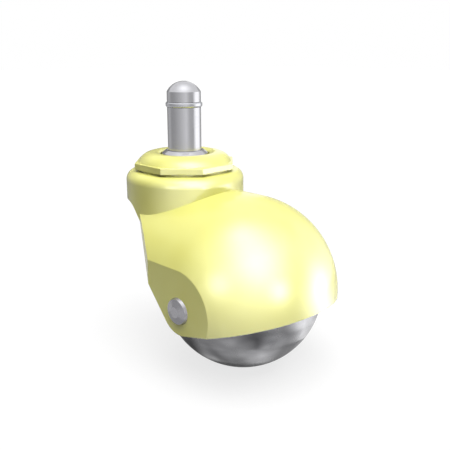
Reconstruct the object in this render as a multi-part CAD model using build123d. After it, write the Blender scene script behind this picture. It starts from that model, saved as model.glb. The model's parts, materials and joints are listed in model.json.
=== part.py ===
from build123d import *
import math
import os

# Ball castor with a hooded ball, a ball-race swivel and a plug-in grip-ring stem.
# Units are millimetres. The origin is on the stem's axis, in the plane of the shoulder
# that bears on the furniture leg. +Z runs up the stem, +X points to the side on which
# the ball trails, and Y lies along the ball's axle.

os.makedirs("parts", exist_ok=True)

# Stem
stem_diameter = 11.0
stem_length = 22.0
dome_height = 3.3
head_band_height = 3.2
groove_height = 1.7
groove_depth = 0.8
grip_ring_stand = 0.45
grip_ring_rounding = 0.64
grip_ring_split = 2.0
split_direction = 115.0
collar_step = 2.1
collar_bevel = 1.3
collar_bevel_height = 1.0
collar_rounding = 0.3
collar_relief = 0.25
collar_height = 4.2
kingpin_diameter = 10.0
kingpin_washer_step = 2.4
kingpin_washer_thickness = 1.0
rivet_head_step = 1.4
rivet_head_height = 1.5
rivet_head_rounding = 1.2

# Swivel bearing
race_ball_diameter = 4.0
race_ball_count = 12
race_pitch_diameter = 19.2
race_shoulder = 2.9
race_height = 2.6
race_gap = 2.6
race_rounding = 0.4
lower_race_step = 1.6
lower_race_hold = 0.35
cage_thickness = 1.0
cage_width = 5.2
bush_wall = 1.15
bush_flange_step = 3.0
bush_flange_thickness = 0.95
seal_thickness = 1.5
seal_width = 1.55

# Head of the hood
boss_diameter = 38.8
boss_rounding = 3.1
boss_top_depth = 6.25
boss_height = 9.2
spotface_depth = 0.45
spotface_margin = 0.6
plate_across_flats = 31.5
plate_sides = 8
plate_thickness = 2.1
plate_step_height = 0.65
plate_overhang = 0.55
plate_spigot_wall = 1.4
plate_edge_rounding = 0.25
cap_ring_edge = 0.47
cap_ring_section = 5.35
cap_ring_sink = 2.4
cap_ring_wall = 1.2
cap_ring_lip = 1.5
cap_ring_gap = 0.5

# Ball and its axle
ball_diameter = 50.0
ball_wall = 2.2
pole_cut = 1.0
spigot_wall = 1.1
spigot_length = 1.5
trail = 26.8
axle_diameter = 6.0
axle_head_step = 1.1
axle_head_chamfer = 0.35
axle_head_land = 0.85
axle_head_height = 1.5
axle_head_flat = 3.2
axle_washer_diameter = 12.0
axle_washer_thickness = 0.6
hub_bush_wall = 1.21
hub_bush_length = 8.0
hub_wall = 1.2

# Hood
ball_clearance = 2.0
hood_wall = 2.7
cheek_wall = 2.3
crest_depth = 11.15
cheek_reach = 13.6
front_slope = 50.2
rim_rise = 15.4
keel_radius = 7.75
throat_rounding = 7.0
bulkhead_wall = 3.4
hood_edge_rounding = 0.4

# Clearances and small roundings
running_clearance = 0.05
seat_clearance = 0.02
thrust_clearance = 0.05
groove_clearance = 0.08
cage_clearance = 0.1
race_side_clearance = 0.4
edge_rounding = 0.2
cutter = 120.0

# Radii about the stem's axis
stem_radius = stem_diameter / 2
collar_radius = stem_radius + collar_step
kingpin_radius = kingpin_diameter / 2
kingpin_washer_radius = kingpin_radius + kingpin_washer_step
rivet_head_radius = kingpin_radius + rivet_head_step
bush_bore_radius = kingpin_radius + running_clearance
bush_outer_radius = bush_bore_radius + bush_wall
bush_flange_radius = kingpin_radius + bush_flange_step
spotface_radius = bush_flange_radius + spotface_margin
pitch_radius = race_pitch_diameter / 2
groove_radius = race_ball_diameter / 2 + groove_clearance
upper_race_radius = pitch_radius + race_shoulder
plate_bore_radius = upper_race_radius + race_side_clearance
plate_spigot_radius = plate_bore_radius + plate_spigot_wall
lower_race_radius = plate_bore_radius + lower_race_hold
lower_race_bore_radius = kingpin_radius + lower_race_step
boss_radius = boss_diameter / 2

# Heights on the stem's axis, from the shoulder at zero
groove_top = stem_length - dome_height - head_band_height
groove_bottom = groove_top - groove_height
upper_race_top = -collar_height
upper_race_bottom = upper_race_top - race_height
lower_race_top = upper_race_bottom - race_gap
lower_race_bottom = lower_race_top - race_height
race_ball_height = (upper_race_bottom + lower_race_top) / 2
spigot_bottom = lower_race_top + thrust_clearance
boss_top = -boss_top_depth
boss_bottom = boss_top - boss_height
spotface = boss_bottom + spotface_depth
bush_top = lower_race_bottom - thrust_clearance
bush_bottom = spotface - bush_flange_thickness
washer_top = bush_bottom - thrust_clearance
washer_bottom = washer_top - kingpin_washer_thickness
rivet_bottom = washer_bottom - rivet_head_height
plate_bottom = boss_top + plate_step_height
plate_top = plate_bottom + plate_thickness

# Radii and widths about the axle
ball_radius = ball_diameter / 2
hood_inner_radius = ball_radius + ball_clearance
hood_outer_radius = hood_inner_radius + hood_wall
axle_radius = axle_diameter / 2
axle_head_radius = axle_radius + axle_head_step
axle_bore_radius = axle_radius + running_clearance
hub_bush_radius = axle_bore_radius + hub_bush_wall
hub_inner_radius = hub_bush_radius + seat_clearance
hub_radius = hub_inner_radius + hub_wall
hub_seat_radius = hub_radius + seat_clearance
ball_half_width = ball_radius - pole_cut
cheek_inside = ball_half_width + axle_washer_thickness + 2 * thrust_clearance
cheek_outside = cheek_inside + cheek_wall

# Places of the axle and of the hood's faces
axle_drop = crest_depth + hood_outer_radius
cheek_front = trail - cheek_reach
cheek_taper = math.atan2(cheek_outside - boss_radius, cheek_front)
bulkhead_place = spotface_radius + bulkhead_wall


def turned(*outline):
    """Solid of revolution about Z from (radius, height, corner rounding) points."""
    points = [(radius, height) for radius, height, rounding in outline]
    roundings = [rounding for radius, height, rounding in outline]
    profile = make_face(FilletPolyline(*points, radius=roundings, close=True))
    return revolve(Plane.XZ * profile, Axis.Z)


def ring(inner, outer, bottom, top, rounding=0.0):
    """Plain ring about Z with its two outer edges rounded."""
    return turned((inner, bottom, 0), (outer, bottom, rounding), (outer, top, rounding), (inner, top, 0))


def disc(radius, bottom, top):
    """Plain cylinder about Z between two heights."""
    upright = (Align.CENTER, Align.CENTER, Align.MIN)
    return Pos(0, 0, bottom) * Cylinder(radius, top - bottom, align=upright)


def on_axle(solid):
    """A solid made about Z, laid along Y on the ball's axis."""
    return Pos(trail, 0, -axle_drop) * Rot(90, 0, 0) * solid


def both_ends(piece):
    """The same piece at both ends of the axle: first the -Y end, then the +Y end."""
    near = on_axle(piece)
    return near, mirror(near, about=Plane.XZ)


def race_groove():
    """Ring-shaped track that the race balls run in."""
    return Pos(0, 0, race_ball_height) * Torus(pitch_radius, groove_radius)


def make_stem():
    """Turned stem: domed head, ring groove, shoulder collar, kingpin and riveted end."""
    body = turned(
        (0, stem_length - dome_height, 0),
        (stem_radius, stem_length - dome_height, 0),
        (stem_radius, groove_top, 0),
        (stem_radius - groove_depth, groove_top, 0),
        (stem_radius - groove_depth, groove_bottom, 0),
        (stem_radius, groove_bottom, 0),
        (stem_radius, -collar_relief, 0),
        (stem_radius + collar_relief, 0, 0),
        (collar_radius - collar_bevel, 0, 0),
        (collar_radius, -collar_bevel_height, collar_rounding),
        (collar_radius, -collar_height, 0),
        (kingpin_radius, -collar_height, 0),
        (kingpin_radius, washer_bottom, 0),
        (rivet_head_radius, washer_bottom, 0),
        (rivet_head_radius, rivet_bottom, rivet_head_rounding),
        (0, rivet_bottom, 0),
    )
    dome_radius = (stem_radius ** 2 + dome_height ** 2) / (2 * dome_height)
    dome = Pos(0, 0, stem_length - dome_radius) * Sphere(dome_radius)
    return body + (dome & disc(stem_radius, stem_length - dome_height, stem_length))


def make_grip_ring():
    """Split spring ring in the stem's groove, which grips the socket in the leg."""
    height = groove_height - 2 * thrust_clearance
    bottom = groove_bottom + thrust_clearance
    inner = stem_radius - groove_depth + running_clearance
    outer = stem_radius + grip_ring_stand
    whole = ring(inner, outer, bottom, bottom + height, grip_ring_rounding)
    split = Pos(stem_radius, 0, bottom) * Box(stem_radius, grip_ring_split, cutter)
    return whole - Rot(0, 0, split_direction) * split


def make_upper_race():
    """Upper ball race, pressed on the kingpin under the collar."""
    inner = kingpin_radius + seat_clearance
    blank = ring(inner, upper_race_radius, upper_race_bottom, upper_race_top, race_rounding)
    return blank - race_groove()


def make_dust_seal():
    """Felt washer round the collar, on the upper race, under the cap ring's lip."""
    inner = collar_radius + seat_clearance
    return ring(inner, inner + seal_width, upper_race_top, upper_race_top + seal_thickness)


def make_kingpin_washer():
    """Steel washer between the swivel bush and the riveted end of the kingpin."""
    inner = kingpin_radius + seat_clearance
    return ring(inner, kingpin_washer_radius, washer_bottom, washer_top, edge_rounding)


def make_race_balls():
    """The race's balls, spaced evenly on the pitch circle."""
    ball = Pos(0, 0, race_ball_height) * Sphere(race_ball_diameter / 2)
    places = PolarLocations(pitch_radius, race_ball_count)
    return Compound(children=[Part() + place * ball for place in places])


def make_ball_cage():
    """Flat ring with a window for each ball."""
    bottom = race_ball_height - cage_thickness / 2
    half_width = cage_width / 2
    blank = ring(pitch_radius - half_width, pitch_radius + half_width, bottom, bottom + cage_thickness)
    window_radius = race_ball_diameter / 2 + cage_clearance
    window = disc(window_radius, bottom - cage_thickness, bottom + 2 * cage_thickness)
    for place in PolarLocations(pitch_radius, race_ball_count):
        blank -= place * window
    return blank


def make_lower_race():
    """Lower ball race, pressed into the boss."""
    outer = lower_race_radius - seat_clearance
    blank = ring(lower_race_bore_radius, outer, lower_race_bottom, lower_race_top, race_rounding)
    return blank - race_groove()


def make_swivel_bush():
    """Flanged bush in the floor of the boss, which steadies the kingpin."""
    return turned(
        (bush_bore_radius, bush_bottom, 0),
        (bush_flange_radius, bush_bottom, edge_rounding),
        (bush_flange_radius, spotface, edge_rounding),
        (bush_outer_radius - seat_clearance, spotface, 0),
        (bush_outer_radius - seat_clearance, bush_top, edge_rounding),
        (bush_bore_radius, bush_top, 0),
    )


def make_retainer_plate():
    """Eight-sided plate whose spigot closes the bearing's pocket in the boss."""
    corner_radius = plate_across_flats / 2 / math.cos(math.pi / plate_sides)
    octagon = Rot(0, 0, 180 / plate_sides) * RegularPolygon(corner_radius, plate_sides)
    plate = Pos(0, 0, plate_bottom) * extrude(octagon, plate_thickness)
    plate = fillet(plate.edges(), plate_edge_rounding)
    step = disc(plate_across_flats / 2 - plate_overhang, boss_top, plate_bottom)
    spigot = disc(plate_spigot_radius - seat_clearance, spigot_bottom, boss_top)
    return plate + step + spigot - disc(plate_bore_radius, spigot_bottom, plate_top)


def make_cap_ring():
    """Pressed dust cap: a rounded ring of sheet that covers the race."""
    outer = cap_ring_section
    inner = cap_ring_section - cap_ring_wall
    foot_radius = plate_across_flats / 2 - cap_ring_edge
    middle = foot_radius - math.sqrt(outer ** 2 - cap_ring_sink ** 2)
    centre_height = plate_top - cap_ring_sink
    lip_radius = collar_radius + cap_ring_gap

    def on_section(radius, across):
        return middle + across, centre_height + math.sqrt(radius ** 2 - across ** 2)

    def crown(radius):
        return middle, centre_height + radius

    foot_outer = (foot_radius, plate_top)
    foot_inner = (middle + math.sqrt(inner ** 2 - cap_ring_sink ** 2), plate_top)
    lip_top = on_section(outer, lip_radius - middle)
    lip_back = on_section(inner, lip_radius + cap_ring_wall - middle)
    lip_bottom = lip_top[1] - cap_ring_lip
    outside = ThreePointArc(foot_outer, crown(outer), lip_top)
    inside = ThreePointArc(lip_back, crown(inner), foot_inner)
    lip = Polyline(lip_top, (lip_radius, lip_bottom), (lip_radius + cap_ring_wall, lip_bottom), lip_back)
    foot = Line(foot_inner, foot_outer)
    return revolve(Plane.XZ * make_face(outside + lip + inside + foot), Axis.Z)


def side_profile():
    """Side view of the hood as a face in XZ: throat, front slope, keel and rising rim."""
    slope = math.radians(front_slope)
    rise = math.radians(rim_rise)
    slope_foot = (trail - keel_radius * math.sin(slope), -axle_drop - keel_radius * math.cos(slope))
    keel = (trail, -axle_drop - keel_radius)
    rim_start = (trail + keel_radius * math.sin(rise), -axle_drop - keel_radius * math.cos(rise))
    run_up = (boss_bottom - slope_foot[1]) / math.tan(slope)
    throat = (slope_foot[0] - run_up, boss_bottom)
    front = (throat[0] - cutter, boss_bottom)
    rim_end = (rim_start[0] + cutter, rim_start[1] + cutter * math.tan(rise))
    underside = FilletPolyline(front, throat, slope_foot, radius=throat_rounding)
    keel_arc = ThreePointArc(slope_foot, keel, rim_start)
    upper = Polyline(rim_start, rim_end, (rim_end[0], cutter), (front[0], cutter), front)
    return Plane.XZ * make_face(underside + keel_arc + upper)


def plan(half_width, inset, front_place):
    """Top view of the hood as a face in XY: parallel cheeks that taper towards the boss."""
    slant = math.tan(cheek_taper)
    shift = inset / math.cos(cheek_taper)
    corner = cheek_front + (half_width - cheek_outside + shift) / slant
    front_half = half_width - (corner - front_place) * slant
    upper = [(cutter, half_width), (corner, half_width), (front_place, front_half)]
    lower = [(along, -across) for along, across in reversed(upper)]
    return make_face(Polyline(*upper, *lower, close=True))


def tunnel(radius, start):
    """Cylinder along X on the ball's centre, from a place on X to the ball's middle."""
    length = trail - start
    return Pos(start + length / 2, 0, -axle_drop) * Rot(0, 90, 0) * Cylinder(radius, length)


def round_outer_edges(body):
    """The hood with its cheeks' outlines and the lip of its shell rounded."""
    cheeks = body.faces().filter_by(Axis.Y).sort_by(Axis.Y)
    outlines = cheeks[0].outer_wire().edges() + cheeks[-1].outer_wire().edges()
    lip = body.edges().filter_by(GeomType.CIRCLE).sort_by(Axis.X)[-1]
    return fillet(outlines + [lip], hood_edge_rounding)


def make_hood():
    """Cast hood: boss for the swivel, arch, ball-shaped shell and two flat cheeks."""
    ball_place = Pos(trail, 0, -axle_drop)
    shell = ball_place * Sphere(hood_outer_radius) + tunnel(hood_outer_radius, 0)
    column = Pos(0, 0, -cutter) * extrude(plan(cheek_outside, 0, 0), 2 * cutter)
    neck = turned(
        (0, -axle_drop, 0),
        (boss_radius, -axle_drop, 0),
        (boss_radius, boss_top, boss_rounding),
        (0, boss_top, 0),
    )
    outside = (shell & column) + neck
    outside &= extrude(side_profile(), cutter, both=True)

    cavity = ball_place * Sphere(hood_inner_radius) + tunnel(hood_inner_radius, bulkhead_place)
    cavity &= Pos(0, 0, -cutter) * extrude(plan(cheek_inside, hood_wall, -hood_outer_radius), 2 * cutter)
    body = round_outer_edges(outside - cavity)

    pocket = disc(plate_spigot_radius, spigot_bottom, 0) + disc(lower_race_radius, lower_race_bottom, 0)
    bores = disc(bush_outer_radius, spotface, 0) + disc(spotface_radius, -axle_drop, spotface)
    axle_holes = on_axle(disc(axle_radius + seat_clearance, -cutter, cutter))
    return body - pocket - bores - axle_holes


def make_axle():
    """Riveted axle with a flat-topped conical head at each end."""
    half = [
        (axle_radius, cheek_outside, 0),
        (axle_head_radius, cheek_outside, 0),
        (axle_head_radius - axle_head_chamfer, cheek_outside + axle_head_land, 0),
        (axle_head_flat / 2, cheek_outside + axle_head_height, 0),
        (0, cheek_outside + axle_head_height, 0),
    ]
    other = [(radius, -height, rounding) for radius, height, rounding in reversed(half)]
    return on_axle(turned(*half, *other))


def make_ball_shells():
    """Two pressed half shells of the ball: the -Y one has a spigot, the +Y one takes it."""
    inner_radius = ball_radius - ball_wall
    spigot_outer = inner_radius + spigot_wall
    neck_radius = hub_seat_radius + ball_wall
    hollow = Sphere(ball_radius) - Sphere(inner_radius)
    hollow += disc(neck_radius, inner_radius - ball_wall, ball_half_width)
    hollow += disc(neck_radius, -ball_half_width, ball_wall - inner_radius)
    hollow &= disc(ball_radius, -ball_half_width, ball_half_width)
    hollow -= disc(hub_seat_radius, -ball_radius, ball_radius)
    spigot = ring(inner_radius, spigot_outer, -spigot_length, 0)
    recess = disc(spigot_outer + seat_clearance, -spigot_length - seat_clearance, 0)
    near = hollow & disc(ball_radius, 0, ball_radius)
    far = (hollow & disc(ball_radius, -ball_radius, 0)) - recess
    return on_axle(near + spigot), on_axle(far)


def make_hub_tube():
    """Tube through the ball that joins the two shells and holds the bushes."""
    return on_axle(ring(hub_inner_radius, hub_radius, -ball_half_width, ball_half_width))


def make_hub_bush():
    """Bearing bush in one end of the hub tube, made about Z."""
    return ring(axle_bore_radius, hub_bush_radius, ball_half_width - hub_bush_length, ball_half_width)


def make_axle_washer():
    """Thrust washer between a cheek and the ball, made about Z."""
    near_face = ball_half_width + thrust_clearance
    far_face = near_face + axle_washer_thickness
    return ring(axle_bore_radius, axle_washer_diameter / 2, near_face, far_face)


def make_all():
    """Every piece by its name."""
    shell_near, shell_far = make_ball_shells()
    bush_near, bush_far = both_ends(make_hub_bush())
    washer_near, washer_far = both_ends(make_axle_washer())
    return {
        "stem": make_stem(),
        "grip_ring": make_grip_ring(),
        "upper_race": make_upper_race(),
        "dust_seal": make_dust_seal(),
        "kingpin_washer": make_kingpin_washer(),
        "race_balls": make_race_balls(),
        "ball_cage": make_ball_cage(),
        "hood": make_hood(),
        "retainer_plate": make_retainer_plate(),
        "cap_ring": make_cap_ring(),
        "lower_race": make_lower_race(),
        "swivel_bush": make_swivel_bush(),
        "axle": make_axle(),
        "axle_washer_right": washer_near,
        "axle_washer_left": washer_far,
        "ball_shell_right": shell_near,
        "ball_shell_left": shell_far,
        "hub_tube": make_hub_tube(),
        "hub_bush_right": bush_near,
        "hub_bush_left": bush_far,
    }


for name, piece in make_all().items():
    export_step(piece, f"parts/{name}.step")
    print(f"{name}: {piece.volume:.1f} mm3")
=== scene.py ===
# %% [markdown]
# # A ball castor in a white studio
# This castor plugs into a furniture leg. Its steel stem carries a ball race, and a yellow
# enamelled hood swivels on the race and holds a plated steel ball. The pieces come ready
# made at their real size, so this lesson gives them their finishes, remakes the pieces
# that a rule describes, and lights them. Work starts from an empty scene: whatever Blender
# opens with is removed first, so that every run gives the same picture.

# %% Load the frame
import json
import math
import bmesh
import bpy
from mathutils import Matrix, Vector

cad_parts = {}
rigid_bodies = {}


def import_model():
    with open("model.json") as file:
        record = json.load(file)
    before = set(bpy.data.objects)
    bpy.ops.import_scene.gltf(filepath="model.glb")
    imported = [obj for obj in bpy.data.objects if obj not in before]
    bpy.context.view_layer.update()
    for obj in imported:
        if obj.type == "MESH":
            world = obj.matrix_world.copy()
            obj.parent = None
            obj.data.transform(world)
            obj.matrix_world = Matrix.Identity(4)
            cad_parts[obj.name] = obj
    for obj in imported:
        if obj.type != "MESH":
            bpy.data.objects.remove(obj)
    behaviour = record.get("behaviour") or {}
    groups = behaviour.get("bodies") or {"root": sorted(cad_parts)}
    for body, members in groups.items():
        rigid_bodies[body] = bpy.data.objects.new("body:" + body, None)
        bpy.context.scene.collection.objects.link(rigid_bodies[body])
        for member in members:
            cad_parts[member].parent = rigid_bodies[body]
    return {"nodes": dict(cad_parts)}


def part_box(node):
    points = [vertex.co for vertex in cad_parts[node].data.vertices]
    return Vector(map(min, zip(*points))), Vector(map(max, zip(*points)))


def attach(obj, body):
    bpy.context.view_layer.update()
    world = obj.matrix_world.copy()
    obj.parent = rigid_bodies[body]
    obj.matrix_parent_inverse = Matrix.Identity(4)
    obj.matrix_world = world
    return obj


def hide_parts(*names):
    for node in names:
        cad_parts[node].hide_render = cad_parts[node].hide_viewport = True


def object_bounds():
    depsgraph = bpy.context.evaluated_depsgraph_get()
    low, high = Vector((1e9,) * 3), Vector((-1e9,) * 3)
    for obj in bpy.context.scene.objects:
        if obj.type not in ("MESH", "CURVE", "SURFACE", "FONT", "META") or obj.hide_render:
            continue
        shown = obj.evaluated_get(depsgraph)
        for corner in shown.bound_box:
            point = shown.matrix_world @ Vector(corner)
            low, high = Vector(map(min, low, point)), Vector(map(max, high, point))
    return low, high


for left_over in list(bpy.data.objects):
    bpy.data.objects.remove(left_over)

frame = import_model()
nodes = frame["nodes"]
frame_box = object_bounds()

# %% [markdown]
# # The camera
# The picture looks down on the castor from the side where the ball hangs clear of its
# hood. A camera is easiest to set by what a photographer would write down: how far round
# the object it stands, how far it looks down, its place and its lens. The rotation then
# follows from the direction of view, with the horizon kept level. Lamps and reflections
# are placed later by the same kind of direction: how far it turns to the right of the
# camera and how high it rises.

# %% Camera
camera_azimuth = math.radians(45.16)
camera_rise = 16.03
camera_place = Vector((0.1499, -0.1304, 0.0310))
lens_mm = 48.34
sensor_mm = 36.0
nearest_seen = 0.01
farthest_seen = 20.0


def direction(turn, rise):
    """Unit vector: turn is degrees to the right of the camera, rise is degrees above level."""
    heading = camera_azimuth + math.radians(turn)
    lift = math.radians(rise)
    return Vector((
        math.sin(heading) * math.cos(lift), -math.cos(heading) * math.cos(lift), math.sin(lift),
    ))


def add_object(name, data):
    """A new object in the scene that shows the data."""
    made = bpy.data.objects.new(name, data)
    bpy.context.scene.collection.objects.link(made)
    return made


camera_data = bpy.data.cameras.new("camera")
camera_data.lens = lens_mm
camera_data.sensor_width = sensor_mm
camera_data.clip_start = nearest_seen
camera_data.clip_end = farthest_seen
camera = add_object("camera", camera_data)
camera.location = camera_place
camera.rotation_mode = "QUATERNION"
camera.rotation_quaternion = direction(0, camera_rise).to_track_quat("Z", "Y")
bpy.context.scene.camera = camera
print("camera", tuple(round(x, 4) for x in camera.location), "lens", lens_mm)

# %% [markdown]
# # Building materials with nodes
# Every finish here is a small tree of shader nodes. One helper adds a node and fills its
# sockets by name, or by number where Blender gives two sockets the same name. One clears
# the tree that a new material brings along. One starts a material with its Principled
# shader and an Object coordinate to hang patterns on. Object coordinates are in metres and
# stay with the piece as it swivels, so a pattern can't slide.

# %% Node helpers
def srgb(red, green, blue):
    """Scene-linear colour from the 0 to 255 values that a picture shows."""
    def linear(value):
        value /= 255
        return value / 12.92 if value <= 0.04045 else ((value + 0.055) / 1.055) ** 2.4
    return linear(red), linear(green), linear(blue), 1.0


def add_node(tree, kind, settings=None, **sockets):
    """A new node; each socket, by name or as _ and its number, is given a value or a link."""
    made = tree.nodes.new(kind)
    for name, value in (settings or {}).items():
        setattr(made, name, value)
    for name, value in sockets.items():
        socket = made.inputs[int(name[1:]) if name[0] == "_" else name.replace("_", " ")]
        if isinstance(value, bpy.types.NodeSocket):
            tree.links.new(value, socket)
        else:
            socket.default_value = value
    return made


def clear_tree(owner):
    """The emptied node tree of a material or a world."""
    owner.use_nodes = True
    owner.node_tree.nodes.clear()
    return owner.node_tree


def start_material(name, colour, metallic, roughness, **sockets):
    """A material with a Principled shader set directly on its sockets."""
    material = bpy.data.materials.new(name)
    tree = clear_tree(material)
    shader = add_node(
        tree, "ShaderNodeBsdfPrincipled",
        Base_Color=colour, Metallic=metallic, Roughness=roughness, **sockets,
    )
    add_node(tree, "ShaderNodeOutputMaterial", Surface=shader.outputs["BSDF"])
    place = add_node(tree, "ShaderNodeTexCoord").outputs["Object"]
    return material, tree, shader, place


print("node helpers ready")

# %% [markdown]
# # Patterns for the finishes
# Grain, haze and unevenness all start as noise. One helper makes noise whose features have
# a size in metres, one takes its middle range to the two values that a finish varies
# between, one blends two colours by it, and one raises the surface by it. Two more stand
# for a Math and a Vector Math node, so that sums read as one line each.

# %% Pattern helpers
number_operations = ("DOT_PRODUCT", "LENGTH", "DISTANCE")


def cloud(tree, place, size, detail=2.0, stretch=(1, 1, 1), shift=(0, 0, 0)):
    """Noise from 0 to 1 whose features are about size metres across."""
    mapped = add_node(tree, "ShaderNodeMapping", Vector=place, Scale=stretch, Location=shift)
    noise = add_node(
        tree, "ShaderNodeTexNoise", Vector=mapped.outputs["Vector"],
        Scale=1 / size, Detail=detail, Roughness=0.5,
    )
    return noise.outputs["Fac"]


def spread(tree, value, low, high, start=0.3, end=0.7):
    """The value's start to end range taken to low and high."""
    mapped = add_node(
        tree, "ShaderNodeMapRange", Value=value,
        From_Min=start, From_Max=end, To_Min=low, To_Max=high,
    )
    return mapped.outputs["Result"]


def blend_colours(tree, share, first, second):
    """Colour between two colours by a share from 0 to 1."""
    mixed = add_node(tree, "ShaderNodeMix", {"data_type": "RGBA"}, _0=share, _6=first, _7=second)
    return mixed.outputs[2]


def raise_surface(tree, shader, height, depth):
    """Bump of a depth in metres on the shader's normal."""
    bump = add_node(tree, "ShaderNodeBump", Height=height, Distance=depth, Strength=1.0)
    tree.links.new(bump.outputs["Normal"], shader.inputs["Normal"])


def combine(tree, operation, first, second):
    """A Math node's result."""
    made = add_node(tree, "ShaderNodeMath", {"operation": operation}, _0=first, _1=second)
    return made.outputs["Value"]


def combine_vectors(tree, operation, first, second=(0, 0, 0)):
    """A Vector Math node's result: a vector, or a number where the operation gives one."""
    made = add_node(tree, "ShaderNodeVectorMath", {"operation": operation}, _0=first, _1=second)
    return made.outputs["Value" if operation in number_operations else "Vector"]


print("pattern helpers ready")

# %% [markdown]
# # Stove enamel on the hood
# The hood, the plate and the cap ring are cast or pressed, then coated in a pale yellow
# gloss enamel. A plain glossy yellow would do at a distance, but gloss paint has a soft
# base and a clear skin, so the shader gets a coat over a rougher base. A sprayed coat is
# never quite flat: a shallow waviness about a millimetre across, which painters call
# orange peel, breaks up the highlights. Yellow faces close together tint one another
# strongly. The picture shows little of that, so the enamel is darker on diffuse rays,
# which carry light from one face to the next.

# %% Enamel
enamel_yellow = srgb(250, 247, 138)
enamel_pale = srgb(252, 250, 143)
enamel_deep = srgb(247, 243, 130)
black = (0, 0, 0, 1)
orange_peel_size = 0.0014
orange_peel_depth = 0.000006
enamel_bounce_loss = 0.6


def make_enamel():
    """Pale yellow gloss enamel with orange peel and a faint unevenness of colour."""
    material, tree, shader, place = start_material(
        "hood_enamel", enamel_yellow, metallic=0.0, roughness=0.42,
        Specular_IOR_Level=0.2, Coat_Weight=1.0, Coat_Roughness=0.16, Coat_IOR=1.5,
    )
    share = spread(tree, cloud(tree, place, size=0.018), low=0.0, high=1.0)
    tint = blend_colours(tree, share, enamel_pale, enamel_deep)
    to_neighbours = add_node(tree, "ShaderNodeLightPath").outputs["Is Diffuse Ray"]
    held_back = spread(tree, to_neighbours, 0.0, enamel_bounce_loss, start=0.0, end=1.0)
    tint = blend_colours(tree, held_back, tint, black)
    tree.links.new(tint, shader.inputs["Base Color"])
    gloss = spread(tree, cloud(tree, place, size=0.006), low=0.38, high=0.46)
    tree.links.new(gloss, shader.inputs["Roughness"])
    peel = cloud(tree, place, orange_peel_size, detail=1.0)
    raise_surface(tree, shader, peel, orange_peel_depth)
    return material


enamel = make_enamel()
print("material", enamel.name)

# %% [markdown]
# # Turned and plated steel
# The stem is turned on a lathe, which leaves fine rings round its axis, then plated
# bright. Rings could be a wave pattern, but real ones are uneven, so they are noise
# squeezed hard along Z, and each one runs right round.
# The spring ring is drawn wire, a little brighter than the stem. The axle is turned about
# its own axis, which lies along Y, so its rings follow the distance from the axle's line,
# worked out from X and Z.

# %% Steels
lathe_ring_depth = 0.000004
squeezed_along_z = (0.05, 0.05, 1)
without_y = (1, 0, 1)


def make_turned_steel(name, colour, roughness):
    """Bright steel with lathe rings round the Z axis."""
    material, tree, shader, place = start_material(
        name, colour, metallic=1.0, roughness=roughness,
    )
    rings = cloud(tree, place, size=0.0009, detail=4.0, stretch=squeezed_along_z)
    smudges = cloud(tree, place, size=0.004, detail=3.0)
    both = combine(tree, "ADD", rings, smudges)
    gloss = spread(tree, both, roughness - 0.04, roughness + 0.06, start=0.8, end=1.2)
    tree.links.new(gloss, shader.inputs["Roughness"])
    raise_surface(tree, shader, rings, lathe_ring_depth)
    return material


def make_radial_steel(name, centre, colour, roughness):
    """Bright steel with lathe rings round a line along Y through a centre."""
    material, tree, shader, place = start_material(
        name, colour, metallic=1.0, roughness=roughness,
    )
    from_centre = combine_vectors(tree, "SUBTRACT", place, centre)
    from_line = combine_vectors(tree, "MULTIPLY", from_centre, without_y)
    radius = combine_vectors(tree, "LENGTH", from_line)
    along_radius = add_node(tree, "ShaderNodeCombineXYZ", X=radius).outputs["Vector"]
    rings = cloud(tree, along_radius, size=0.0005, detail=4.0)
    gloss = spread(tree, rings, roughness - 0.05, roughness + 0.07)
    tree.links.new(gloss, shader.inputs["Roughness"])
    raise_surface(tree, shader, rings, lathe_ring_depth)
    return material


axle_low, axle_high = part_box("axle")
axle_centre = (axle_low + axle_high) / 2
stem_steel = make_turned_steel("stem_steel", srgb(196, 196, 200), roughness=0.20)
spring_steel = make_turned_steel("spring_steel", srgb(200, 201, 206), roughness=0.24)
race_steel = make_turned_steel("race_steel", srgb(170, 170, 172), roughness=0.18)
axle_steel = make_radial_steel("axle_steel", axle_centre, srgb(184, 183, 188), roughness=0.22)
print("axle's line at", tuple(round(x, 4) for x in axle_centre))

# %% [markdown]
# The ball is pressed steel, plated and polished, and the picture shows it with a cloudy grey
# lustre rather than a mirror's. Three scales of noise do that: large dark and light clouds in the
# plating's colour, which are painted reflections of a cloudy room, finer ones in the roughness,
# which haze the reflections as handling and rolling do, and a very shallow ripple in the surface.

# %% Ball plating
# Painted reflections: the clouds in the ball's colour run between the dark and light greys.
painted_reflection_dark = srgb(88, 88, 91)
plating_middle = srgb(160, 160, 163)
painted_reflection_light = srgb(208, 208, 211)
painted_reflection_stretch = (1, 0.7, 1.3)
painted_reflection_shift = (0.0, 0.5, 0.0)


def make_ball_plating():
    """Grey plated steel with painted reflections as large dark and light clouds in its colour, and
    haze in its gloss.
    """
    material, tree, shader, place = start_material(
        "ball_plating_and_painted_reflections", plating_middle, metallic=1.0, roughness=0.2,
    )
    # Painted reflections: large dark and light clouds in the base colour stand in for a cloudy
    # room mirrored in the ball; the shift sets where the dark and light patches fall.
    painted_reflection_clouds = cloud(tree, place, size=0.016, detail=2.5, stretch=painted_reflection_stretch, shift=painted_reflection_shift)
    share = spread(tree, painted_reflection_clouds, low=0.0, high=1.0, start=0.34, end=0.66)
    tint = blend_colours(tree, share, painted_reflection_dark, painted_reflection_light)
    tree.links.new(tint, shader.inputs["Base Color"])
    haze = spread(tree, cloud(tree, place, size=0.007, detail=4.0), low=0.16, high=0.30)
    tree.links.new(haze, shader.inputs["Roughness"])
    raise_surface(tree, shader, cloud(tree, place, size=0.003), depth=0.000004)
    return material


ball_plating_and_painted_reflections = make_ball_plating()
print("material", ball_plating_and_painted_reflections.name)

# %% [markdown]
# # The finishes inside
# Little of the bearing shows, but each piece has its own finish: mirror-bright bearing
# balls, a brass cage with the grain of rolled strip, bushes of milky nylon that let
# some light in, and a felt seal whose fibres catch the light at a glance.

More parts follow.
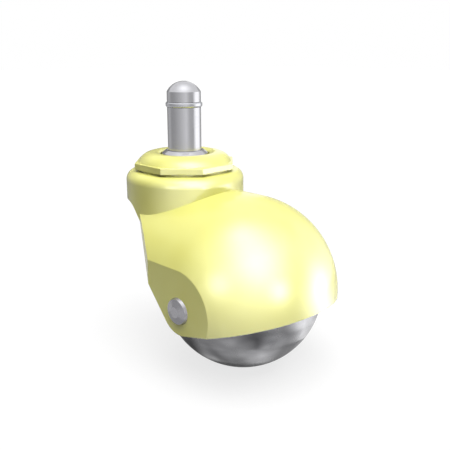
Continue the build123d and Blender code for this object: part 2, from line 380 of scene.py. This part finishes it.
# %% Inner finishes
def make_bearing_steel():
    """Ground and polished bearing steel."""
    material, tree, shader, place = start_material(
        "bearing_steel", srgb(205, 205, 208), metallic=1.0, roughness=0.08,
    )
    haze = spread(tree, cloud(tree, place, size=0.0015, detail=3.0), low=0.05, high=0.12)
    tree.links.new(haze, shader.inputs["Roughness"])
    return material


def make_brass():
    """Rolled brass strip with its grain along X."""
    material, tree, shader, place = start_material(
        "cage_brass", srgb(214, 178, 96), metallic=1.0, roughness=0.28,
    )
    grain = cloud(tree, place, size=0.0004, detail=3.0, stretch=(0.06, 1, 1))
    tree.links.new(spread(tree, grain, low=0.22, high=0.36), shader.inputs["Roughness"])
    raise_surface(tree, shader, grain, depth=0.000003)
    return material


def make_nylon():
    """Milky moulded nylon."""
    material, tree, shader, place = start_material(
        "bush_nylon", srgb(228, 224, 210), metallic=0.0, roughness=0.42,
        Subsurface_Weight=0.2, Subsurface_Scale=0.001,
    )
    share = spread(tree, cloud(tree, place, size=0.003), low=0.0, high=1.0)
    tint = blend_colours(tree, share, srgb(232, 228, 215), srgb(222, 217, 201))
    tree.links.new(tint, shader.inputs["Base Color"])
    raise_surface(tree, shader, cloud(tree, place, size=0.0004), depth=0.000005)
    return material


def make_felt():
    """Dark grey wool felt with fibres and a soft sheen."""
    material, tree, shader, place = start_material(
        "felt", srgb(96, 94, 90), metallic=0.0, roughness=0.95,
        Sheen_Weight=0.6, Sheen_Roughness=0.5,
    )
    fibres = cloud(tree, place, size=0.0003, detail=6.0, stretch=(1, 0.4, 0.7))
    share = spread(tree, fibres, low=0.0, high=1.0)
    tint = blend_colours(tree, share, srgb(78, 76, 72), srgb(122, 119, 113))
    tree.links.new(tint, shader.inputs["Base Color"])
    raise_surface(tree, shader, fibres, depth=0.00008)
    return material


bearing_steel = make_bearing_steel()
cage_brass = make_brass()
bush_nylon = make_nylon()
felt = make_felt()
print("materials", len(bpy.data.materials))

# %% [markdown]
# # Handing out the finishes
# The turned, cast and pressed pieces have their true shape already, so they stay as
# they are and only their material slots change. One table says which piece has which
# finish, the way a workshop's drawing lists them.

# %% Finishes by piece
finishes = {
    "hood": enamel,
    "retainer_plate": enamel,
    "cap_ring": enamel,
    "stem": stem_steel,
    "kingpin_washer": stem_steel,
    "hub_tube": stem_steel,
    "upper_race": race_steel,
    "lower_race": race_steel,
    "ball_cage": cage_brass,
    "axle": axle_steel,
    "ball_shell_right": ball_plating_and_painted_reflections,
    "ball_shell_left": ball_plating_and_painted_reflections,
    "swivel_bush": bush_nylon,
    "hub_bush_right": bush_nylon,
    "hub_bush_left": bush_nylon,
    "axle_washer_right": bush_nylon,
    "axle_washer_left": bush_nylon,
    "dust_seal": felt,
}
for name, finish in finishes.items():
    for slot in nodes[name].material_slots:
        slot.material = finish
print("finishes on", len(finishes), "pieces")

# %% [markdown]
# # Geometry Nodes: one tree for each repeating piece
# The bearing's balls repeat round a circle, and the grip ring is one section swept along
# an arc. Both follow a rule, so a node tree makes them: change a number and the piece
# follows. One helper starts a tree with its named inputs and one ends it. A third runs the
# tree, turns the result into a plain mesh with its place in it, and removes the carrier.

# %% Geometry Nodes helpers
def start_tree(name, sizes):
    """A geometry tree with float inputs for its sizes; returns the tree and its input node."""
    tree = bpy.data.node_groups.new(name, "GeometryNodeTree")
    for key in sizes:
        tree.interface.new_socket(key, in_out="INPUT", socket_type="NodeSocketFloat")
    tree.interface.new_socket("Geometry", in_out="OUTPUT", socket_type="NodeSocketGeometry")
    return tree, add_node(tree, "NodeGroupInput")


def lift_geometry(tree, geometry, height):
    """The geometry raised along Z."""
    lift = add_node(tree, "ShaderNodeCombineXYZ", Z=height)
    raised = add_node(
        tree, "GeometryNodeTransform", Geometry=geometry, Translation=lift.outputs["Vector"],
    )
    return raised.outputs["Geometry"]


def end_tree(tree, geometry, material):
    """Realize Instances, Set Material and the tree's output."""
    real = add_node(tree, "GeometryNodeRealizeInstances", Geometry=geometry)
    dressed = add_node(
        tree, "GeometryNodeSetMaterial", Geometry=real.outputs["Geometry"], Material=material,
    )
    add_node(tree, "NodeGroupOutput", Geometry=dressed.outputs["Geometry"])


def run_tree(tree, name, sizes):
    """The tree's result as a plain mesh object at the origin."""
    carrier = add_object(name + "_carrier", bpy.data.meshes.new(name + "_carrier"))
    modifier = carrier.modifiers.new("shape", "NODES")
    modifier.node_group = tree
    for item in tree.interface.items_tree:
        if item.in_out == "INPUT":
            modifier[item.identifier] = float(sizes[item.name])
    graph = bpy.context.evaluated_depsgraph_get()
    mesh = bpy.data.meshes.new_from_object(carrier.evaluated_get(graph))
    bpy.data.objects.remove(carrier)
    mesh.name = name
    print(name, len(mesh.polygons), "faces")
    return add_object(name, mesh)


print("geometry helpers ready")

# %% [markdown]
# # The bearing's balls
# Twelve hardened balls run in the race. They could be copied and turned one by one, but a
# circle with twelve points carries one ball on each by itself, which is the rule a real
# cage keeps. The circle's radius and height come from the frame's own balls, so the new
# ones sit exactly in their tracks.

# %% Bearing balls
race_low, race_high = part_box("race_balls")
bearing_ball_radius = (race_high.z - race_low.z) / 2
bearing_ball_count = 12
bearing_ball_segments = 32
bearing_ball_rings = 20
race_sizes = {
    "Count": bearing_ball_count,
    "Pitch radius": race_high.x - bearing_ball_radius,
    "Ball radius": bearing_ball_radius,
    "Height": (race_low.z + race_high.z) / 2,
}


def make_ball_tree():
    """Balls on the points of a circle."""
    tree, inputs = start_tree("bearing_balls", race_sizes)
    given = inputs.outputs
    circle = add_node(
        tree, "GeometryNodeMeshCircle", Vertices=given["Count"], Radius=given["Pitch radius"],
    )
    ball = add_node(
        tree, "GeometryNodeMeshUVSphere",
        Segments=bearing_ball_segments, Rings=bearing_ball_rings, Radius=given["Ball radius"],
    )
    smooth = add_node(tree, "GeometryNodeSetShadeSmooth", Geometry=ball.outputs["Mesh"])
    balls = add_node(
        tree, "GeometryNodeInstanceOnPoints",
        Points=lift_geometry(tree, circle.outputs["Mesh"], given["Height"]),
        Instance=smooth.outputs["Geometry"],
    )
    end_tree(tree, balls.outputs["Instances"], bearing_steel)
    return tree


bearing_balls = run_tree(make_ball_tree(), "bearing_balls", race_sizes)
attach(bearing_balls, "race")
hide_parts("race_balls")

# %% [markdown]
# # The grip ring
# A spring ring sits in the stem's groove and grips the socket in the leg. It could be a
# closed ring with a gap cut in it. But it is wire with a rounded section, bent round and
# left open, so the tree does what the workshop does: it sweeps the section along an arc
# that stops short of a full turn by the split. Its sizes are read from the frame's own
# ring, so it fills the same groove.

# %% Grip ring
ring_low, ring_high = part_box("grip_ring")
ring_outer = ring_high.x
ring_inner = min(math.hypot(v.co.x, v.co.y) for v in nodes["grip_ring"].data.vertices)
ring_corner_radius = 0.00058
split_width = 0.002
split_middle = math.radians(115)
split_angle = split_width / ring_outer
arc_points = 160
corner_points = 7
ring_edge_angle = math.radians(50)
ring_sizes = {
    "Middle radius": (ring_outer + ring_inner) / 2,
    "Section width": ring_outer - ring_inner,
    "Section height": ring_high.z - ring_low.z,
    "Corner radius": ring_corner_radius,
    "Start": split_middle + split_angle / 2,
    "Sweep": 2 * math.pi - split_angle,
    "Height": (ring_low.z + ring_high.z) / 2,
}


def make_ring_tree():
    """A rounded section swept along an open arc."""
    tree, inputs = start_tree("grip_ring", ring_sizes)
    given = inputs.outputs
    arc = add_node(
        tree, "GeometryNodeCurveArc", {"mode": "RADIUS"}, Resolution=arc_points,
        Radius=given["Middle radius"], Start_Angle=given["Start"], Sweep_Angle=given["Sweep"],
    )
    section = add_node(
        tree, "GeometryNodeCurvePrimitiveQuadrilateral", {"mode": "RECTANGLE"},
        Width=given["Section width"], Height=given["Section height"],
    )
    rounded = add_node(
        tree, "GeometryNodeFilletCurve", {"mode": "POLY"},
        Curve=section.outputs["Curve"], Radius=given["Corner radius"], Count=corner_points,
    )
    swept = add_node(
        tree, "GeometryNodeCurveToMesh", Curve=arc.outputs["Curve"],
        Profile_Curve=rounded.outputs["Curve"], Fill_Caps=True,
    )
    smooth = add_node(tree, "GeometryNodeSetShadeSmooth", Geometry=swept.outputs["Mesh"])
    raised = lift_geometry(tree, smooth.outputs["Geometry"], given["Height"])
    end_tree(tree, raised, spring_steel)
    return tree


wire_ring = run_tree(make_ring_tree(), "wire_ring", ring_sizes)
wire_ring.data.set_sharp_from_angle(angle=ring_edge_angle)
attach(wire_ring, "stem_side")
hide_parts("grip_ring")
print("ring outer radius", round(ring_outer, 5), "inner radius", round(ring_inner, 5))

# %% [markdown]
# # Answering each kind of ray
# The Light Path node tells which kind of ray asks, so the floor and the world can answer
# each kind differently. Rays from the camera, off a mirror or through glass show the room,
# while the rays that carry light find a dimmer one, so that pale things keep their shade.
# A lobe is a glow round a direction: a dot product raised to a power that makes it sharper.

# %% Ray helpers
white = (1, 1, 1, 1)


def shown_white(tree):
    """1 on rays from the camera or off a mirror or through glass, 0 on light rays."""
    path = add_node(tree, "ShaderNodeLightPath").outputs
    shown = combine(tree, "MAXIMUM", path["Is Camera Ray"], path["Is Glossy Ray"])
    return combine(tree, "MAXIMUM", shown, path["Is Transmission Ray"])


def add_lobe(tree, way, turn, rise, strength, sharpness):
    """Brightness that falls off round a direction, as strength times cosine to a power."""
    cosine = combine_vectors(tree, "DOT_PRODUCT", way, direction(turn, rise))
    facing = combine(tree, "MAXIMUM", cosine, 0.0)
    return combine(tree, "MULTIPLY", combine(tree, "POWER", facing, sharpness), strength)


def mix_shaders(tree, share, first, second):
    """A shader between two shaders by a share from 0 to 1."""
    made = add_node(tree, "ShaderNodeMixShader", _0=share, _1=first, _2=second)
    return made.outputs["Shader"]


def add_clear(tree):
    """A shader that lets everything through."""
    return add_node(tree, "ShaderNodeBsdfTransparent", Color=white).outputs["BSDF"]


print("ray helpers ready")

# %% [markdown]
# # The floor
# The floor could be a plain white sheet, but that would wash out the ball and the hood's
# underside. So each kind of ray finds its own floor. To the camera it is nearly white, with a
# quarter of its own shade left in, so that a soft shadow stays where the ball stands. Reflections
# find it a middle grey. Light rays find it darker still, or it would throw too much light up under
# the hood, and lighter near the ball's foot than farther out: a painted pool of light, which sends
# more bounce light to the low faces near the floor. From below it is clear, so that the underside
# can be looked at.

# %% Floor
floor_height = frame_box[0].z
floor_half = 3.0
painted_pool_near_grey = 0.18
painted_pool_far_grey = 0.10
painted_pool_reach = 0.2
floor_glow_to_camera = 0.75
floor_lit_to_camera = 0.25
floor_glow_to_gloss = 0.15
floor_lit_to_gloss = 0.40
ball_low, ball_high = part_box("ball_shell_right")
foot_place = Vector(((ball_low.x + ball_high.x) / 2, 0, floor_height))


def add_floor_look(tree, glow, share):
    """A shader of a floor that glows by one share of white and takes light by another."""
    lit = add_node(tree, "ShaderNodeBsdfDiffuse", Color=(share, share, share, 1))
    glowing = add_node(tree, "ShaderNodeEmission", Color=white, Strength=glow)
    both = add_node(tree, "ShaderNodeAddShader", _0=lit.outputs[0], _1=glowing.outputs[0])
    return both.outputs["Shader"]


def make_floor_material():
    """Pale floor that shows nearly white, with the object's shadow kept."""
    material = bpy.data.materials.new("floor")
    tree = clear_tree(material)
    place = add_node(tree, "ShaderNodeTexCoord").outputs["Object"]
    from_foot = combine_vectors(tree, "DISTANCE", place, foot_place)
    # Painted pool of light: light rays find the floor lighter near the ball's foot and darker
    # farther out.
    grey = spread(
        tree, from_foot, painted_pool_near_grey, painted_pool_far_grey, start=0.0, end=painted_pool_reach,
    )
    plain = add_node(tree, "ShaderNodeBsdfDiffuse", Color=grey).outputs["BSDF"]
    to_camera = add_floor_look(tree, floor_glow_to_camera, floor_lit_to_camera)
    to_gloss = add_floor_look(tree, floor_glow_to_gloss, floor_lit_to_gloss)
    camera_ray = add_node(tree, "ShaderNodeLightPath").outputs["Is Camera Ray"]
    shown = mix_shaders(tree, camera_ray, to_gloss, to_camera)
    from_above = mix_shaders(tree, shown_white(tree), plain, shown)
    from_below = add_node(tree, "ShaderNodeNewGeometry").outputs["Backfacing"]
    one_sided = mix_shaders(tree, from_below, from_above, add_clear(tree))
    add_node(tree, "ShaderNodeOutputMaterial", Surface=one_sided)
    return material


def add_stage_piece(name, points, faces, material):
    """A mesh that belongs to the studio and not to the object."""
    mesh = bpy.data.meshes.new(name)
    mesh.from_pydata(points, [], faces)
    mesh.materials.append(material)
    made = add_object(name, mesh)
    return made


floor_corners = [(-1, -1), (1, -1), (1, 1), (-1, 1)]
floor_points = [(x * floor_half, y * floor_half, floor_height) for x, y in floor_corners]
add_stage_piece("floor", floor_points, [(0, 1, 2, 3)], make_floor_material())
print("floor at", round(floor_height, 5))

# %% [markdown]
# # The world
# The world shows white and lights mostly from overhead, like a room with a skylight: its
# light is faint at the horizon and grows with a power of the height. A soft glow near the
# zenith, which only reflections see, rounds off the top of the stem.

# %% World
horizon_light = 0.03
ceiling_light = 1.35
sky_steepness = 3.0
white_sky_strength = 1.0
overhead_glow = {"turn": 5, "rise": 80, "strength": 0.9, "sharpness": 9.0}

world = bpy.data.worlds.new("world")
sky_tree = clear_tree(world)
sky_way = add_node(sky_tree, "ShaderNodeTexCoord").outputs["Generated"]
sky_parts = add_node(sky_tree, "ShaderNodeSeparateXYZ", Vector=sky_way)
sky_height = combine(sky_tree, "MAXIMUM", sky_parts.outputs["Z"], 0.0)
sky_rise = combine(sky_tree, "POWER", sky_height, sky_steepness)
sky_light = spread(sky_tree, sky_rise, horizon_light, ceiling_light, start=0.0, end=1.0)
sky_mix = add_node(
    sky_tree, "ShaderNodeMix", {"data_type": "FLOAT"},
    _0=shown_white(sky_tree), _2=sky_light, _3=white_sky_strength,
)
off_gloss = add_node(sky_tree, "ShaderNodeLightPath").outputs["Is Glossy Ray"]
sky_glow = combine(sky_tree, "MULTIPLY", off_gloss, add_lobe(sky_tree, sky_way, **overhead_glow))
sky_strength = combine(sky_tree, "ADD", sky_mix.outputs[0], sky_glow)
sky = add_node(sky_tree, "ShaderNodeBackground", Color=white, Strength=sky_strength)
add_node(sky_tree, "ShaderNodeOutputWorld", Surface=sky.outputs["Background"])
bpy.context.scene.world = world
print("world from", horizon_light, "at the horizon to", ceiling_light, "overhead")

# %% [markdown]
# # Lamps
# Sun lamps with a wide angle act as softboxes that are very far away: the floor gets
# the same light all over, so it stays an even white, and the edges of shadows are soft.
# One stands high in front, and one low on the right. A lamp's strength is in watts per
# square metre, and a white surface that faces a strength of pi looks exactly white. The
# suns' own mirror images would be hard-edged discs, so reflections don't see them.

# %% Lamps
def add_soft_sun(name, turn, rise, share, spread_angle):
    """A sun lamp whose light alone shows a facing white surface as share of white."""
    data = bpy.data.lights.new(name, "SUN")
    data.energy = share * math.pi
    data.angle = math.radians(spread_angle)
    lamp = add_object(name, data)
    lamp.rotation_mode = "QUATERNION"
    lamp.rotation_quaternion = direction(turn, rise).to_track_quat("Z", "Y")
    lamp.visible_glossy = False
    return lamp


high_sun = add_soft_sun("high_sun", turn=22, rise=70, share=0.64, spread_angle=50)
right_sun = add_soft_sun("right_sun", turn=58, rise=20, share=0.12, spread_angle=30)
print("lamps", [lamp.name for lamp in (high_sun, right_sun)])

# %% [markdown]
# # What the steel sees
# Bright metal looks like whatever stands round it. In an all-white room a turned stem
# loses its roundness, so photographers stand grey cards near it. Each card here is a strip
# between two level rims, painted in bands that blend into one another round its centre. It
# glows by itself, so no lamp changes its greys, and only reflections meet it: it is out of
# the camera's sight and throws no shadow.

# %% Card helpers
card_steps = 96
# A colour ramp shows greys up to 1, so it holds each grey as a share of this brightness.
card_bright = 2.0


def make_card_material(name, bands):
    """Grey bands by the angle round the upright axis."""
    material = bpy.data.materials.new(name)
    tree = clear_tree(material)
    place = add_node(tree, "ShaderNodeTexCoord").outputs["UV"]
    along = add_node(tree, "ShaderNodeSeparateXYZ", Vector=place)
    ramp = add_node(tree, "ShaderNodeValToRGB", Fac=along.outputs["X"])
    stops = ramp.color_ramp.elements
    # A new stop may start anywhere, because the loop below gives each one its place.
    while len(stops) < len(bands):
        stops.new(0.5)
    first, last = bands[0][0], bands[-1][0]
    for stop, (angle, grey) in zip(stops, bands):
        stop.position = (angle - first) / (last - first)
        share = grey / card_bright
        stop.color = (share, share, share, 1)
    glow = add_node(
        tree, "ShaderNodeEmission", Color=ramp.outputs["Color"], Strength=card_bright,
    )
    add_node(tree, "ShaderNodeOutputMaterial", Surface=glow.outputs["Emission"])
    return material


def hide_from_all_but_gloss(stage_piece):
    """Leaves a stage piece to be met by reflections only."""
    stage_piece.visible_camera = False
    stage_piece.visible_diffuse = False
    stage_piece.visible_shadow = False
    stage_piece.visible_transmission = False


def add_card(name, centre, rims, bands):
    """A strip between two level rims, (radius, height) each, painted in bands round the centre."""
    first, last = bands[0][0], bands[-1][0]
    points = []
    for step in range(card_steps + 1):
        level = direction(first + (last - first) * step / card_steps, 0)
        points += [(centre.x + level.x * r, centre.y + level.y * r, height) for r, height in rims]
    faces = [(2 * i, 2 * i + 2, 2 * i + 3, 2 * i + 1) for i in range(card_steps)]
    card = add_stage_piece(name, points, faces, make_card_material(name, bands))
    card_map = card.data.uv_layers.new(name="along")
    for loop in card.data.loops:
        step, rim = divmod(loop.vertex_index, 2)
        card_map.data[loop.index].uv = (step / card_steps, rim)
    hide_from_all_but_gloss(card)
    print(name, len(bands), "bands")


print("card helpers ready")

# %% [markdown]
# # The curved card
# A curved card stands upright round the castor and shades the stem: grey on the left,
# lighter in front, and brightest on the right, where it makes the bright stripe down the
# stem. A band is an angle, in degrees to the right of the camera, and the grey that the
# card has there, where 1 is white and more is brighter than white.

# %% Curved card
curved_card_radius = 0.2
curved_card_top = 0.11
curved_card_bands = [
    (-180, 0.20), (-150, 0.30), (-122, 0.62), (-104, 0.62), (-92, 0.44), (-64, 0.48), (-30, 0.66),
    (18, 1.00), (40, 0.66), (68, 0.58), (82, 1.8), (116, 1.8), (140, 0.5), (165, 0.5),
]
stem_axis = Vector((0, 0, 0))
curved_card_rims = [(curved_card_radius, floor_height), (curved_card_radius, curved_card_top)]
add_card("curved_card", stem_axis, curved_card_rims, curved_card_bands)

# %% [markdown]
# # The floor cards
# Three flat rings lie on the floor round the ball's foot and shade the ball, whose lower
# half mirrors the floor: the lower a place is on the ball, the nearer to its foot it looks.
# Each ring has bands of its own, because the ball's light and dark places lie at other
# angles at each height.

# %% Floor cards
floor_card_lift = 0.0003
floor_card_height = floor_height + floor_card_lift
near_card_bands = [
    (-180, 0.35), (-75, 0.10), (-40, 0.80), (-10, 0.55), (22, 0.90), (50, 0.30), (75, 0.28),
    (95, 0.45), (180, 0.35),
]
middle_card_bands = [
    (-180, 0.40), (-75, 0.15), (-45, 0.36), (-20, 0.50), (-5, 0.70), (15, 0.38), (26, 1.35),
    (36, 1.10), (54, 0.50), (64, 0.58), (84, 1.40), (104, 0.90), (180, 0.40),
]
far_card_bands = [
    (-180, 0.40), (-20, 0.45), (0, 0.80), (14, 0.55), (30, 0.45), (48, 0.40), (62, 0.90),
    (80, 1.75), (100, 1.50), (130, 0.50), (180, 0.40),
]
# Each card is its name, its inner and outer radius and its bands.
floor_cards = [
    ("near_floor_card", 0.014, 0.026, near_card_bands),
    ("middle_floor_card", 0.026, 0.038, middle_card_bands),
    ("far_floor_card", 0.038, 0.060, far_card_bands),
]
for name, inner, outer, bands in floor_cards:
    add_card(name, foot_place, [(inner, floor_card_height), (outer, floor_card_height)], bands)

# %% [markdown]
# # What the enamel sees
# Gloss paint mirrors only a twenty-fifth of what stands in front of it, so its highlights
# come from things far brighter than white. Lamps could make them, but would light the rest
# too. So softboxes are painted as lobes on a clear bubble round the castor: a very wide one
# all over the front, a large one above it, a smaller one overhead, one low on the right and
# two small ones in front. A dark patch takes part of the wide one away and keeps a strip of
# the right side yellow. The bubble glows only on the first reflection, which is at a ray
# depth of one.

# %% Softboxes
# Each softbox is its turn, rise, strength and sharpness.
wide_softbox = (12, 13, 4.2, 1.1)
dark_patch = (61, 14, 1.0, 7.0)
other_softboxes = {
    "large, above": (20, 43, 12.2, 8.5),
    "overhead": (-7, 78, 6.5, 30.0),
    "low on the right": (86, -2, 11.5, 16.0),
    "small, front right": (38, 12, 14.0, 58.0),
    "small, front left": (-29, 21, 9.0, 50.0),
}
past_first_reflection = 1.5


def make_bubble_material(centre):
    """Softboxes over a clear ground, by the direction from a centre."""
    material = bpy.data.materials.new("softboxes")
    tree = clear_tree(material)
    place = add_node(tree, "ShaderNodeTexCoord").outputs["Object"]
    way = combine_vectors(tree, "NORMALIZE", combine_vectors(tree, "SUBTRACT", place, centre))
    kept = combine(tree, "SUBTRACT", 1.0, add_lobe(tree, way, *dark_patch))
    total = combine(tree, "MULTIPLY", add_lobe(tree, way, *wide_softbox), kept)
    for softbox in other_softboxes.values():
        total = combine(tree, "ADD", total, add_lobe(tree, way, *softbox))
    depth = add_node(tree, "ShaderNodeLightPath").outputs["Ray Depth"]
    is_first = combine(tree, "LESS_THAN", depth, past_first_reflection)
    total = combine(tree, "MULTIPLY", total, is_first)
    glow = add_node(tree, "ShaderNodeEmission", Color=white, Strength=total)
    both = add_node(tree, "ShaderNodeAddShader", _0=glow.outputs[0], _1=add_clear(tree))
    add_node(tree, "ShaderNodeOutputMaterial", Surface=both.outputs["Shader"])
    return material


bubble_centre = Vector((foot_place.x, 0, (ball_low.z + ball_high.z) / 2))
softbox_material = make_bubble_material(bubble_centre)
print("softboxes", 1 + len(other_softboxes))

# %% [markdown]
# # The bubble
# The bubble is a sphere round the ball's centre, flattened where it would go through the
# floor. Light linking shows it to the enamelled pieces alone, because bare steel would turn
# white under it.

# %% Bubble
bubble_radius = 0.15
bubble_lift = 0.0005
bubble_segments = 48
bubble_rings = 24


def make_bubble_mesh(centre):
    """A sphere round a centre whose lower part is pressed flat above the floor."""
    form = bmesh.new()
    bmesh.ops.create_uvsphere(
        form, u_segments=bubble_segments, v_segments=bubble_rings, radius=bubble_radius,
    )
    bmesh.ops.translate(form, verts=form.verts, vec=centre)
    for point in form.verts:
        point.co.z = max(point.co.z, floor_height + bubble_lift)
    mesh = bpy.data.meshes.new("bubble")
    form.to_mesh(mesh)
    form.free()
    return mesh


def show_only_to(stage_piece, finish):
    """Light linking: only the pieces with a finish receive what the stage piece sends."""
    receivers = bpy.data.collections.new(stage_piece.name + "_receivers")
    for name, given in finishes.items():
        if given is finish:
            receivers.objects.link(nodes[name])
    stage_piece.light_linking.receiver_collection = receivers


bubble_mesh = make_bubble_mesh(bubble_centre)
bubble_mesh.materials.append(softbox_material)
bubble = add_object("bubble", bubble_mesh)
hide_from_all_but_gloss(bubble)
show_only_to(bubble, enamel)

# %% [markdown]
# The view
# The Standard view shows each colour as it is written.

# %% View transform
bpy.context.scene.view_settings.view_transform = "Standard"
